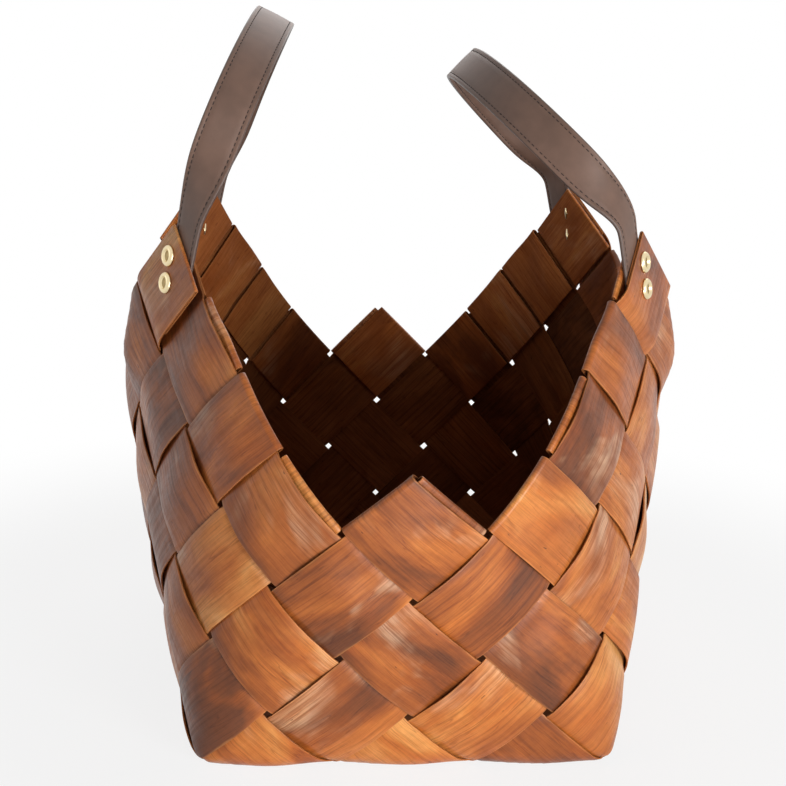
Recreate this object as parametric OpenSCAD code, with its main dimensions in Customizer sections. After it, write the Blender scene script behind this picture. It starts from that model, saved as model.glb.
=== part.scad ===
// Diagonally plaited basket of wide wood strips, with two leather strap handles.
// The origin is the middle of the underside, the long walls run along Y, and the short walls face Y.

/* [Strips] */
// Width of each wood strip
strip_w = 53; // [48:1:58]
// Thickness of each wood strip
strip_t = 1; // [0.7:0.1:1.3]
// Gap between neighbouring strips
strip_gap = 4; // [3:0.5:5]
// Air between two strips where they cross
layer_air = 0.3; // [0.2:0.05:0.4]

/* [Walls] */
// Reach of a rounded corner along each wall, near the rim
corner_reach = 65; // [55:1:72]
// Height in which most of the corner's rounding is reached
corner_rise = 42; // [40:1:60]
// Turn of half a short wall at the height of the peaks, in degrees
end_bow = 64; // [50:1:66]
// Turn of half a long wall at the height of the peaks, in degrees
side_bow = 41; // [30:1:44]
// How late the short walls begin to bow
end_bow_power = 1.3; // [1.2:0.1:1.6]
// Height over which the long walls take on their bow
side_bow_rise = 450; // [350:10:550]
// Share by which the girth has grown at the peaks
girth_growth_share = 0.05; // [0:0.01:0.06]
// Share of a diamond's height that is left after the strips wave over each other
rise_share = 0.97; // [0.95:0.005:1]

/* [Straps] */
// Width of the handle straps
strap_w = 26; // [20:1:30]
// Thickness of the handle straps
strap_t = 3; // [2:0.2:4]
// Length of a handle from its hinge line up to the crown of its arch
arch_rise = 117; // [100:1:140]
// Inward lean of the left handle at its feet, in degrees
left_lean = 18; // [0:1:50]
// How much further the left handle leans at its crown, in degrees
left_bend = 8; // [0:1:40]
// Inward lean of the right handle at its feet, in degrees
right_lean = 46; // [0:1:55]
// How much further the right handle leans at its crown, in degrees
right_bend = 0; // [0:1:40]
// Length of the strap end held inside a peak
tab_held = 45; // [42:1:48]
// Length of the strap end that stands above a peak
tab_rise = 3; // [2:0.5:5]
// Tilt of a strap's ends about their lower rivets, away from the handle's middle, in degrees
strap_tilt = 20; // [0:1:22]
// Tilt of an arch at its feet, away from its middle, in degrees
arch_splay = 10; // [0:1:16]
// Rise of the arch's pointed foot, which clears the strap end as the handle swings
foot_rise = 7; // [6:0.5:9]

/* [Rivets] */
// Diameter of a rivet's cap
cap_d = 13; // [11:0.5:15]
// Height of a rivet's cap
cap_h = 2.2; // [1.6:0.1:3]
// Diameter of the dished middle of a cap
dish_d = 7; // [5:0.5:8]
// Diameter of a rivet's shank
shank_d = 2.4; // [1.8:0.2:3]
// Distance from the tip of a peak to the upper rivet
upper_rivet_drop = 20; // [18:1:22]
// Distance from the tip of a peak to the lower rivet
lower_rivet_drop = 36; // [34:1:37]
// Length of one bent prong inside the basket
prong_len = 4; // [3:0.5:6]
// Width of a prong
prong_w = 1.6; // [1.2:0.2:2.4]
// Thickness of a prong
prong_t = 0.5; // [0.3:0.1:0.8]

/* [Hidden] */
// The base is this many diamonds wide and long
end_count = 3;
side_count = 5;
half_girth = end_count + side_count;
strip_count = end_count + side_count;
// Rows of half diamonds above the fold of the base: the rim's valley and its peaks
valley_row = 4;
valley_place = 0.5;
peak_place = end_count / 2 + 1;
top_row = valley_row + 2 * (peak_place - valley_place);
// Rows below a peak's tip, and places beside it, between which the peak turns flat, so that
// straps and rivets seat on it
flat_to_row = top_row - 2;
flat_from_row = flat_to_row - 1;
flat_share = 0.52;
curved_share = 0.8;

pitch = strip_w + strip_gap;
diag = pitch * sqrt(2);
row_h = diag / 2;
half_end = end_count * diag / 2;
half_side = side_count * diag / 2;
floor_z = strip_t + layer_air / 2;
edge = strip_w / pitch / 2;
layer = (strip_t + layer_air) / 2;
fold_air = 0.6;
fold_steps = 4;
row_step = 0.5;
cell_step = 0.5;
probe = 0.02;
tiny = 0.01;
seat_air = 0.1;

// Layers of a peak, from the inside out: folded inner strip, strap, folded outer strip
strap_low = layer_air / 2;
strap_mid = strap_low + strap_t / 2;
flap_mid = strap_low + strap_t + layer_air + strip_t / 2;
cover_mid = flap_mid + 2 * layer;
cover_start_share = 0.35;
cover_full_share = 0.25;
inner_flap = -3 * layer;
wrapped_flap = -5 * layer;
cap_seat = cover_mid + strip_t / 2 + seat_air;
prong_seat = strip_t / 2 - inner_flap + seat_air;

hole_air = 0.2;
hole_d = shank_d + 2 * hole_air;
hole_over = strip_t;
rivet_drops = [upper_rivet_drop, lower_rivet_drop];

hinge_gap = 0.5;
hinge_rise = tab_rise + hinge_gap + norm([foot_rise, strap_t / 2]);
strap_bevel = 0.7;
tab_corner = 4;
arch_steps = 48;
twist_angle = 24;
half_turn = 180;
right_angle = half_turn / 2;

function unit(v) = v / norm(v);
function smooth(t) = let(c = min(max(t, 0), 1)) c * c * (3 - 2 * c);
function mix(a, b, t) = a + (b - a) * t;

// Plan of one quarter of the wall at a row: three arcs, from the middle of a short wall
// round the corner to the middle of a long wall, always as long as the strips need
function girth(row) = 1 + girth_growth_share * pow(row / top_row, 2);
function reach(row) = max(tiny, corner_reach * (1 - exp(-row * row_h / corner_rise)));
function end_turn(row) = end_bow * pow(row / top_row, end_bow_power);
function side_turn(row) =
    side_bow * (1 - exp(-row * row_h / side_bow_rise)) / (1 - exp(-top_row * row_h / side_bow_rise));

function arc_walk(len, from, to) =
    abs(to - from) < tiny
        ? len * [cos(from), sin(from)]
        : len / ((to - from) * PI / 180) * [sin(to) - sin(from), cos(from) - cos(to)];

function quarter_walk(u, row) =
    let(
        corner = reach(row),
        len1 = half_end * girth(row) - corner,
        len2 = 2 * corner,
        len3 = half_side * girth(row) - corner,
        turn1 = end_turn(row),
        turn3 = side_turn(row),
        turn2 = right_angle - turn1 - turn3,
        d1 = min(u, len1),
        d2 = max(0, min(u - len1, len2)),
        d3 = max(0, u - len1 - len2)
    )
    arc_walk(d1, 0, turn1 * d1 / len1)
    + arc_walk(d2, turn1, turn1 + turn2 * d2 / len2)
    + arc_walk(d3, right_angle - turn3, right_angle - turn3 + turn3 * d3 / len3);

function plan(place, row) =
    let(
        quarter = (half_end + half_side) * girth(row),
        at = quarter_walk(place * diag * girth(row), row)
    )
    [at[0], at[1] - quarter_walk(quarter, row)[1]];

// Height of a row: each step along the wall is as long as the strips are wide
function climb(place, row) =
    row < tiny ? 0 :
    let(
        steps = ceil(row / row_step),
        slant = row_h * rise_share * row / steps,
        at = [for (k = [0 : steps]) plan(place, row * k / steps)],
        ups = [for (k = [1 : steps]) sqrt(max(0, pow(slant, 2) - pow(norm(at[k] - at[k - 1]), 2)))]
    )
    ups * [for (k = [1 : steps]) 1];

function curved_quarter(place, row) =
    let(at = plan(place, row))
    [at[0], at[1], floor_z + climb(place, row)];

// The plane of a peak, in its quarter
peak_row = top_row - 1;
peak_mid = curved_quarter(peak_place, peak_row);
peak_across = curved_quarter(peak_place + probe, peak_row) - curved_quarter(peak_place - probe, peak_row);
peak_upward = curved_quarter(peak_place, peak_row + probe) - curved_quarter(peak_place, peak_row - probe);
peak_out = unit(cross(peak_across, peak_upward));

function quarter(place, row) =
    let(
        at = curved_quarter(place, row),
        flat = smooth((row - flat_from_row) / (flat_to_row - flat_from_row))
            * smooth((curved_share - abs(place - peak_place)) / (curved_share - flat_share))
    )
    at - peak_out * ((at - peak_mid) * peak_out) * flat;

// Places round the basket count diamonds from the near left corner, anticlockwise from above.
// A fold of the place gives its quarter: its distance from the middle of a short wall, and signs
function fold_place(s) =
    let(
        turns = floor((s - end_count / 2 + half_girth) / (2 * half_girth)),
        m = s - end_count / 2 - turns * 2 * half_girth,
        far = abs(m) > half_girth / 2
    )
    [far ? half_girth - abs(m) : abs(m), m < 0 ? -1 : 1, far ? -1 : 1];

function wall(s, row) =
    let(f = fold_place(s), at = quarter(f[0], row))
    [f[1] * at[0], f[2] * at[1], at[2]];

function wall_out(s, row) =
    let(
        low = max(row - probe, 0),
        across = wall(s + probe, row + tiny) - wall(s - probe, row + tiny),
        upward = wall(s, row + probe) - wall(s, low)
    )
    unit(cross(across, upward));

// On the fold of the base a strip's layers stand out along the bisector
function fold_out(s) =
    let(out = wall_out(s, tiny), half = unit(out - [0, 0, 1]))
    half / (half * out);

// Rim: a zigzag along the edges of the diamonds
function rim(s) =
    let(place = fold_place(s)[0])
    place < valley_place ? valley_row + 2 * (valley_place - place)
    : place < peak_place ? valley_row + 2 * (place - valley_place)
    : top_row - 2 * (place - peak_place);
function inside_rim(s, row) = row < rim(s) - tiny;

// One leg of a strip climbs from a place on the base's fold, leaning forward (1) or back (-1)
function leg_cells(s, lean, n = 0) = inside_rim(s + lean * n / 2, n) ? leg_cells(s, lean, n + 1) : n;
function is_over(n, lean) = (n % 2 == 0) == (lean < 0);
function is_tip(s, row) = !inside_rim(s - cell_step, row + 1) && !inside_rim(s + cell_step, row + 1);

// The base's sides: along each, the direction of rising places, and the way out
function side_of(s) =
    let(t = s - floor(s / (2 * half_girth)) * 2 * half_girth)
    t < end_count ? 0 : t < half_girth ? 1 : t < half_girth + end_count ? 2 : 3;
function side_along(s) = [[1, 0], [0, 1], [-1, 0], [0, -1]][side_of(s)];
function side_out(s) = [[0, -1], [1, 0], [0, 1], [-1, 0]][side_of(s)];
function base_exit(s) =
    let(f = fold_place(s), place = f[0], on_end = place < end_count / 2)
    [
        f[1] * (on_end ? place * diag : half_end),
        f[2] * (on_end ? -half_side : -half_side + (place - end_count / 2) * diag)
    ];
function leg_dir(leg) = unit(leg[1] * side_along(leg[0]) + side_out(leg[0]));
function cross_dir(leg) = unit(-leg[1] * side_along(leg[0]) + side_out(leg[0]));

// A point of a leg, a pitches up the strip and b across it, and the way out of the surface there
function leg_place(leg, a, b) = leg[0] + leg[1] * (a - b) / 2;
function leg_point(leg, a, b) =
    a + b < -tiny
        ? let(at = base_exit(leg[0]) + pitch * (a * leg_dir(leg) + b * cross_dir(leg)))
          [at[0], at[1], floor_z]
        : wall(leg_place(leg, a, b), max(a + b, 0));
function leg_out(leg, a, b) =
    a + b < -tiny ? [0, 0, -1]
    : a + b < tiny ? fold_out(leg_place(leg, a, b))
    : wall_out(leg_place(leg, a, b), a + b);
function leg_ahead(leg, a, b) = unit(leg_point(leg, a + probe, b) - leg_point(leg, a - probe, b));

// One cross row of a strip: centre, way out and row number for each of its points across
across_shares = [-1, 0, 1];
function flat_station(leg, a, flip, lift, face = 1) = [
    for (c = across_shares)
        let(b = c * flip * edge, out = leg_out(leg, a, b))
        [leg_point(leg, a, b) + out * lift, face * out, a + b]
];
function fold_station(leg, a, flip, from, to, turn) = [
    for (c = across_shares)
        let(
            b = c * flip * edge,
            out = leg_out(leg, a, b),
            ahead = leg_ahead(leg, a, b),
            way = out * cos(turn) + ahead * sin(turn),
            hub = leg_point(leg, a, b) + ahead * fold_air + out * (from + to) / 2
        )
        [hub + way * (from - to) / 2, way, a + b]
];

function over_lift(leg, n) = is_over(n, leg[1]) ? layer : -layer;
function leg_end(leg, flip) =
    let(
        n = leg_cells(leg[0], leg[1]) - 1,
        over = is_over(n, leg[1]),
        tip = is_tip(leg[0] + leg[1] * n / 2, n),
        cover = tip && over && n == peak_row,
        top = cover ? cover_mid : over_lift(leg, n),
        under = cover ? flap_mid : tip && over ? wrapped_flap : inner_flap,
        last = cover ? n - cover_full_share : n - edge
    )
    [
        flat_station(leg, last, flip, under, -1),
        flat_station(leg, n, flip, under, -1),
        for (k = [fold_steps : -1 : 0])
            fold_station(leg, n + edge, flip, top, under, half_turn * k / fold_steps),
        flat_station(leg, n, flip, top),
        if (cover) flat_station(leg, n - cover_full_share, flip, top),
        flat_station(leg, n - edge, flip, cover ? mix(layer, top, cover_start_share) : top),
    ];
function cell_stations(leg, n, flip) = [
    for (share = [1, 0, -1]) flat_station(leg, n + share * edge, flip, over_lift(leg, n))
];
function reversed(list) = [for (k = [len(list) - 1 : -1 : 0]) list[k]];

// A whole strip: down one leg, through the base and up the other
function strip_stations(leg1, leg2, base_cells) =
    let(
        flip1 = -leg1[1],
        same = cross_dir(leg1) * cross_dir(leg2) > 0 ? 1 : -1,
        flip2 = flip1 * same,
        last1 = leg_cells(leg1[0], leg1[1]) - 1,
        last2 = leg_cells(leg2[0], leg2[1]) - 1
    )
    concat(
        leg_end(leg1, flip1),
        [for (n = [last1 - 1 : -1 : 0]) each cell_stations(leg1, n, flip1)],
        [for (m = [1 : 1 : base_cells - 1]) each cell_stations(leg1, -m, flip1)],
        [for (n = [0 : 1 : last2 - 1]) each reversed(cell_stations(leg2, n, flip2))],
        reversed(leg_end(leg2, flip2))
    );

// The closed ribbon through the stations. Each square splits along a level line,
// so that two crossing strips have parallel faces
module ribbon(stations) {
    wide = len(across_shares);
    ring = 2 * wide;
    count = len(stations);
    half = strip_t / 2;
    points = [
        for (st = stations) each concat(
            [for (p = st) p[0] + p[1] * half],
            reversed([for (p = st) p[0] - p[1] * half])
        )
    ];
    function level(i, j) = stations[i][j < wide ? j : ring - 1 - j][2];
    function square_faces(i, j) =
        let(
            k = (j + 1) % ring,
            a = i * ring + j,
            b = i * ring + k,
            c = (i + 1) * ring + k,
            d = (i + 1) * ring + j,
            main = abs(level(i, j) - level(i + 1, k)) < abs(level(i, k) - level(i + 1, j))
        )
        main ? [[a, b, c], [a, c, d]] : [[a, b, d], [b, c, d]];
    function cap_faces(i, way) = [
        for (j = [0 : wide - 2])
            let(a = i * ring + j, b = a + 1, c = i * ring + ring - 2 - j, d = c + 1)
            each way > 0 ? [[a, d, c], [a, c, b]] : [[a, c, d], [a, b, c]]
    ];
    faces = concat(
        [for (i = [0 : count - 2], j = [0 : ring - 1]) each square_faces(i, j)],
        cap_faces(0, 1),
        cap_faces(count - 1, -1)
    );
    polyhedron(points = points, faces = faces, convexity = 10);
}

// Tips of the four peaks, as places round the basket
peak_tips = [
    end_count / 2 - peak_place,
    end_count / 2 + peak_place,
    half_girth + end_count / 2 - peak_place,
    half_girth + end_count / 2 + peak_place,
];
near_left = 0;
near_right = 1;
far_right = 2;
far_left = 3;

// Moves its children to a peak: origin at the tip, Y up the peak, Z out of the basket
module at_peak(k) {
    tip = wall(peak_tips[k], top_row);
    out = wall_out(peak_tips[k], peak_row);
    translate(tip)
        rotate([right_angle - asin(out[2]), 0, atan2(out[1], out[0]) + right_angle])
            children();
}

module rivet_holes(k) {
    deep = prong_seat + hole_over;
    at_peak(k)
        for (drop = rivet_drops)
            translate([0, -drop, -deep])
                cylinder(d = hole_d, h = deep + cap_seat + hole_over, $fn = 24);
}

function leg_tip(leg) =
    let(
        n = leg_cells(leg[0], leg[1]) - 1,
        s = leg[0] + leg[1] * n / 2,
        t = s - floor(s / (2 * half_girth)) * 2 * half_girth
    )
    n == peak_row ? t : undef;
function peak_index(t) = [
    for (k = [0 : len(peak_tips) - 1])
        let(gap = peak_tips[k] - t, turns = round(gap / (2 * half_girth)))
        if (abs(gap - turns * 2 * half_girth) < tiny) k
];

module woven_strip(leg1, leg2, base_cells) {
    tips = [for (leg = [leg1, leg2]) let(t = leg_tip(leg)) if (t != undef) each peak_index(t)];
    if (len(tips) > 0)
        difference() {
            ribbon(strip_stations(leg1, leg2, base_cells));
            for (k = tips) rivet_holes(k);
        }
    else
        ribbon(strip_stations(leg1, leg2, base_cells));
}

// Strip k of one direction lies this many diamonds from the base's diagonal line
function strip_offset(k) = k - (strip_count + 1) / 2;
function base_run(c) = 2 * min(half_girth / 2 - abs(c), end_count);
function strip_legs(c, mirror) =
    let(
        edge_end = (side_count - end_count) / 2,
        leg1 = [c - edge_end, c > edge_end ? -1 : 1],
        leg2 = [half_girth - edge_end - c, c > -edge_end ? 1 : -1]
    )
    mirror ? [[end_count - leg1[0], -leg1[1]], [end_count - leg2[0], -leg2[1]]] : [leg1, leg2];

module left_leaning_strip(k) {
    c = strip_offset(k);
    legs = strip_legs(c, false);
    color([0.62, 0.38, 0.22])
        woven_strip(legs[0], legs[1], base_run(c));
}

module right_leaning_strip(k) {
    c = strip_offset(k);
    legs = strip_legs(c, true);
    color([0.70, 0.44, 0.26])
        woven_strip(legs[0], legs[1], base_run(c));
}

// Which way along a peak's X its handle's middle lies
function inner_way(k) = k % 2 == 0 ? -1 : 1;

// The end of a strap, flat between the two folded strips of a peak. It tilts about the lower
// rivet, and its top is cut level, so that the handle swings clear of it
module strap_end(k) {
    color([0.36, 0.29, 0.27])
        at_peak(k)
            translate([0, 0, strap_low])
                linear_extrude(strap_t)
                    difference() {
                        intersection() {
                            tilted_strap(inner_way(k) * strap_tilt);
                            translate([-strap_w, -tab_held - strap_w])
                                square([2 * strap_w, tab_held + strap_w + tab_rise]);
                        }
                        for (drop = rivet_drops)
                            translate([0, -drop])
                                circle(d = hole_d, $fn = 24);
                    }
}

module tilted_strap(tilt) {
    translate([0, -lower_rivet_drop])
        rotate(tilt)
            translate([0, lower_rivet_drop])
                hull() {
                    translate([-strap_w / 2, tab_rise])
                        square([strap_w, strap_w / 2]);
                    for (x = [-1, 1])
                        translate([x * (strap_w / 2 - tab_corner), tab_corner - tab_held])
                            circle(r = tab_corner, $fn = 32);
                }
}

module rivet() {
    lip = (cap_d - dish_d) / 4;
    shank_len = prong_seat + cap_seat;
    dish_h = cap_h / 3;
    translate([0, 0, cap_seat])
        rotate_extrude($fn = 48)
            difference() {
                union() {
                    square([cap_d / 2 - lip, dish_h]);
                    translate([cap_d / 2 - lip, cap_h - lip])
                        circle(r = lip, $fn = 24);
                    translate([cap_d / 2 - 2 * lip, 0])
                        square([2 * lip, cap_h - lip]);
                }
                translate([-cap_d, -cap_d])
                    square([2 * cap_d, cap_d]);
                translate([-cap_d, 0])
                    square([cap_d, cap_d]);
            }
    translate([0, 0, -prong_seat])
        cylinder(d = shank_d, h = shank_len + tiny, $fn = 24);
    for (side = [-1, 1])
        translate([-prong_w / 2, side > 0 ? 0 : -prong_len, -prong_seat - prong_t])
            cube([prong_w, prong_len, prong_t + tiny]);
}

module rivet_pair(k) {
    color([0.83, 0.72, 0.45])
        at_peak(k)
            for (drop = rivet_drops)
                translate([0, -drop, 0])
                    rivet();
}

// The hinge line of a handle runs through both of its strap ends, just above the peaks
function peak_up(k) =
    let(out = wall_out(peak_tips[k], peak_row), side = unit(cross([0, 0, 1], out)))
    cross(out, side);
function peak_side(k) = cross(peak_up(k), wall_out(peak_tips[k], peak_row));
function strap_foot(k) =
    wall(peak_tips[k], top_row)
    + peak_up(k) * hinge_rise
    - peak_side(k) * inner_way(k) * (lower_rivet_drop + hinge_rise) * tan(strap_tilt)
    + wall_out(peak_tips[k], peak_row) * strap_mid;

// The arch of a handle: half an ellipse with splayed feet, on a sheet that bends inwards as it
// rises. The strap twists out of the peaks' planes into that sheet soon after its feet
module handle_strap(near, inward, foot_lean, bend) {
    foot = strap_foot(near);
    span = -foot[1];
    foot_out = wall_out(peak_tips[near], peak_row);
    foot_side = unit([foot_out[1], -foot_out[0], 0]) * inward;
    foot_up = peak_up(near);
    splay = arch_rise * tan(arch_splay) / 2;
    section = [
        [-strap_w / 2 + strap_bevel, strap_t / 2],
        [0, strap_t / 2],
        [strap_w / 2 - strap_bevel, strap_t / 2],
        [strap_w / 2, strap_t / 2 - strap_bevel],
        [strap_w / 2, -strap_t / 2 + strap_bevel],
        [strap_w / 2 - strap_bevel, -strap_t / 2],
        [0, -strap_t / 2],
        [-strap_w / 2 + strap_bevel, -strap_t / 2],
        [-strap_w / 2, -strap_t / 2 + strap_bevel],
        [-strap_w / 2, strap_t / 2 - strap_bevel],
    ];
    ring = len(section);
    end_parts = [
        [0, 1, 7], [1, 6, 7], [1, 2, 6], [2, 5, 6],
        [0, 7, 9], [7, 8, 9], [2, 3, 5], [3, 4, 5],
    ];
    function mirrored(v, far) = far ? [v[0], -v[1], v[2]] : v;
    function lean_at(t) = foot_lean + bend * sin(t);
    function arch_at(t) =
        let(at = arc_walk(arch_rise * sin(t), foot_lean, lean_at(t)))
        [foot[0] + inward * at[1], -span * cos(t) - splay * sin(2 * t), foot[2] + at[0]];
    function arch_ahead(t) =
        let(lean = lean_at(t))
        unit(
            [0, span * sin(t) - 2 * splay * cos(2 * t), 0]
            + arch_rise * cos(t) * [inward * sin(lean), 0, cos(lean)]
        );
    function arch_width(t) =
        let(
            ahead = arch_ahead(t),
            lean = lean_at(t),
            turn = smooth(min(t, half_turn - t) / twist_angle),
            way = mix(mirrored(foot_side, t > right_angle), [-inward * cos(lean), 0, sin(lean)], turn)
        )
        unit(way - ahead * (way * ahead));
    points = [
        for (k = [0 : arch_steps])
            let(
                t = half_turn * k / arch_steps,
                at = arch_at(t),
                ahead = arch_ahead(t),
                width = arch_width(t),
                thick = cross(width, ahead),
                far = t > right_angle,
                is_end = k == 0 || k == arch_steps,
                out = mirrored(foot_out, far),
                toe = out * (thick * out > 0 ? 1 : -1)
            )
            for (p = section)
                is_end && p[0] == 0
                    ? at - mirrored(foot_up, far) * foot_rise + toe * p[1]
                    : at + width * p[0] + thick * p[1]
    ];
    faces = concat(
        [
            for (k = [0 : arch_steps - 1], j = [0 : ring - 1])
                let(a = k * ring + j, b = k * ring + (j + 1) % ring)
                each [[a, b + ring, b], [a, a + ring, b + ring]]
        ],
        end_parts,
        [for (part = end_parts) reversed([for (j = part) arch_steps * ring + j])]
    );
    color([0.36, 0.29, 0.27])
        polyhedron(points = points, faces = faces, convexity = 10);
}

left_leaning_strip(1);  // left_leaning_strip_1
left_leaning_strip(2);  // left_leaning_strip_2
left_leaning_strip(3);  // left_leaning_strip_3
left_leaning_strip(4);  // left_leaning_strip_4
left_leaning_strip(5);  // left_leaning_strip_5
left_leaning_strip(6);  // left_leaning_strip_6
left_leaning_strip(7);  // left_leaning_strip_7
left_leaning_strip(8);  // left_leaning_strip_8
right_leaning_strip(1);  // right_leaning_strip_1
right_leaning_strip(2);  // right_leaning_strip_2
right_leaning_strip(3);  // right_leaning_strip_3
right_leaning_strip(4);  // right_leaning_strip_4
right_leaning_strip(5);  // right_leaning_strip_5
right_leaning_strip(6);  // right_leaning_strip_6
right_leaning_strip(7);  // right_leaning_strip_7
right_leaning_strip(8);  // right_leaning_strip_8
strap_end(near_left);  // near_left_strap_end
strap_end(near_right);  // near_right_strap_end
strap_end(far_left);  // far_left_strap_end
strap_end(far_right);  // far_right_strap_end
handle_strap(near_left, 1, left_lean, left_bend);  // left_handle_strap
handle_strap(near_right, -1, right_lean, right_bend);  // right_handle_strap
rivet_pair(near_left);  // near_left_rivets
rivet_pair(near_right);  // near_right_rivets
rivet_pair(far_left);  // far_left_rivets
rivet_pair(far_right);  // far_right_rivets
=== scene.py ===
"""Looks of the woven basket: plaited veneer strips, leather handle straps and brass rivets.

Every size is in metres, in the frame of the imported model.
"""

import math

import bmesh
import bpy
import numpy as np
from mathutils import Matrix, Vector, noise


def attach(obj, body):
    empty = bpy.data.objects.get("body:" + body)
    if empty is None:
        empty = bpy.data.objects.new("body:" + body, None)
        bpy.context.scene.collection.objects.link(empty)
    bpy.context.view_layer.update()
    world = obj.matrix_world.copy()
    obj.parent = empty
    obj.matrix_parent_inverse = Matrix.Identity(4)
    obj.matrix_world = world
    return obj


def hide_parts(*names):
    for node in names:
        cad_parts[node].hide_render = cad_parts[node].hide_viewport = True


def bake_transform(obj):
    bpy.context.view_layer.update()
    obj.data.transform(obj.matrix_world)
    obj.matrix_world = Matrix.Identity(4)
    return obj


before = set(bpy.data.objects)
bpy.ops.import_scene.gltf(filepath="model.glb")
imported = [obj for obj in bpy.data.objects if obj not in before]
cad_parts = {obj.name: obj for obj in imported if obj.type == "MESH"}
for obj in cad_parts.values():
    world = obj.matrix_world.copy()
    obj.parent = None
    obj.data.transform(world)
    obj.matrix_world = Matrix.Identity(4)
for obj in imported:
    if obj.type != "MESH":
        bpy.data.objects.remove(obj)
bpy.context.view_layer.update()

# ---------------------------------------------------------------- steps that several pieces share


def add_object(name, data):
    obj = bpy.data.objects.new(name, data)
    bpy.context.scene.collection.objects.link(obj)
    return obj


def finished_mesh(bm, name):
    mesh = bpy.data.meshes.new(name)
    bm.to_mesh(mesh)
    bm.free()
    return mesh


def new_grid(rows, columns, *uv_names):
    """A flat grid, its UV maps, and the row and column that each of its vertices stands for."""
    bm = bmesh.new()
    bmesh.ops.create_grid(bm, x_segments=rows - 1, y_segments=columns - 1, size=0.5)
    uv_maps = [bm.loops.layers.uv.new(name) for name in uv_names]
    places = {
        vert: (round((vert.co.x + 0.5) * (rows - 1)), round((vert.co.y + 0.5) * (columns - 1)))
        for vert in bm.verts
    }
    return bm, uv_maps, places


def add_piece(name, mesh, materials):
    for polygon in mesh.polygons:
        polygon.use_smooth = True
    for material in materials:
        mesh.materials.append(material)
    return add_object(name, mesh)


def smooth(t):
    c = np.clip(t, 0, 1)
    return c * c * (3 - 2 * c)


def unit(v):
    return v / np.linalg.norm(v, axis=-1, keepdims=True)


def walk_along(points):
    """How far each point of a line lies along it."""
    steps = np.linalg.norm(np.diff(points, axis=0), axis=1)
    return np.concatenate([[0], np.cumsum(steps)])


# ---------------------------------------------------------------- camera

IMAGE_SIDE = 786
FOCAL_PIXELS = 1531.1
SENSOR = 36.0
CLIP_START = 0.01
CAMERA_PLACE = Vector((-0.0612, -1.0222, 0.4259))
CAMERA_YAW = 0.0597
CAMERA_PITCH = 0.2390
CAMERA_ROLL = 0.0226


def add_camera():
    data = bpy.data.cameras.new("camera")
    data.lens = FOCAL_PIXELS / IMAGE_SIDE * SENSOR
    data.sensor_width = SENSOR
    data.clip_start = CLIP_START
    camera = add_object("camera", data)
    ahead = Vector(
        (
            math.sin(CAMERA_YAW) * math.cos(CAMERA_PITCH),
            math.cos(CAMERA_YAW) * math.cos(CAMERA_PITCH),
            -math.sin(CAMERA_PITCH),
        )
    )
    right = Vector((math.cos(CAMERA_YAW), -math.sin(CAMERA_YAW), 0))
    up = right.cross(ahead)
    cos_roll, sin_roll = math.cos(CAMERA_ROLL), math.sin(CAMERA_ROLL)
    rolled_right = cos_roll * right + sin_roll * up
    rolled_up = cos_roll * up - sin_roll * right
    turn = Matrix((rolled_right, rolled_up, -ahead)).transposed()
    camera.matrix_world = Matrix.Translation(CAMERA_PLACE) @ turn.to_4x4()
    bpy.context.scene.camera = camera


add_camera()

# ---------------------------------------------------------------- sizes of the weave

# A strip, the gap beside it, and the air between strips that cross.
STRIP_W = 0.053
STRIP_T = 0.001
STRIP_GAP = 0.004
LAYER_AIR = 0.0003

# How the corners draw in, how far the walls bow out, and how they grow with height.
CORNER_REACH = 0.065
CORNER_RISE = 0.042
END_BOW = math.radians(64)
SIDE_BOW = math.radians(41)
END_BOW_POWER = 1.3
SIDE_BOW_RISE = 0.450
GIRTH_GROWTH = 0.05
RISE_SHARE = 0.97

# Diamonds along a short and a long wall, the rim's valleys and peaks, and a peak's flat part.
END_COUNT = 3
SIDE_COUNT = 5
HALF_GIRTH = END_COUNT + SIDE_COUNT
STRIP_COUNT = 8
VALLEY_ROW = 4
VALLEY_PLACE = 0.5
PEAK_PLACE = 2.5
TOP_ROW = 8
PEAK_ROW = TOP_ROW - 1
FLAT_FROM_ROW = 5
FLAT_TO_ROW = 6
FLAT_FROM_PLACE = 0.52
FLAT_TO_PLACE = 0.8

# What follows from these: EDGE and LAYER are half a strip's width, in pitches, and half the
# distance between the middles of two layers.
PITCH = STRIP_W + STRIP_GAP
DIAG = PITCH * math.sqrt(2)
ROW_H = DIAG / 2
HALF_END = END_COUNT * DIAG / 2
HALF_SIDE = SIDE_COUNT * DIAG / 2
FLOOR_Z = STRIP_T + LAYER_AIR / 2
EDGE = STRIP_W / PITCH / 2
LAYER = (STRIP_T + LAYER_AIR) / 2

# A strap's end in its peak lies just outside the wall's middle surface. Outside it come the
# flap of the strip that covers it, and then that strip.
STRAP_W = 0.026
STRAP_T = 0.003
STRAP_LOW = LAYER_AIR / 2
STRAP_MID = STRAP_LOW + STRAP_T / 2
FLAP_MID = STRAP_LOW + STRAP_T + LAYER_AIR + STRIP_T / 2
COVER_MID = FLAP_MID + 2 * LAYER

TINY = 1e-5
PROBE = 0.02
CLIMB_STEPS = 16

# ---------------------------------------------------------------- middle surface of the wall
# Places go round the basket in diamonds from the near left corner, anticlockwise from above.
# Rows go up the wall, two for each diamond. The wall is worked out for the near right quarter,
# where places start at the middle of the near wall, and mirrored for the others.


def arc_walk(length, start, end):
    """Way from one end of an arc to the other, while its direction turns from start to end."""
    chord = length * np.sinc((end - start) / (2 * math.pi))
    middle = (start + end) / 2
    return np.stack([chord * np.cos(middle), chord * np.sin(middle)], axis=-1)


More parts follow.
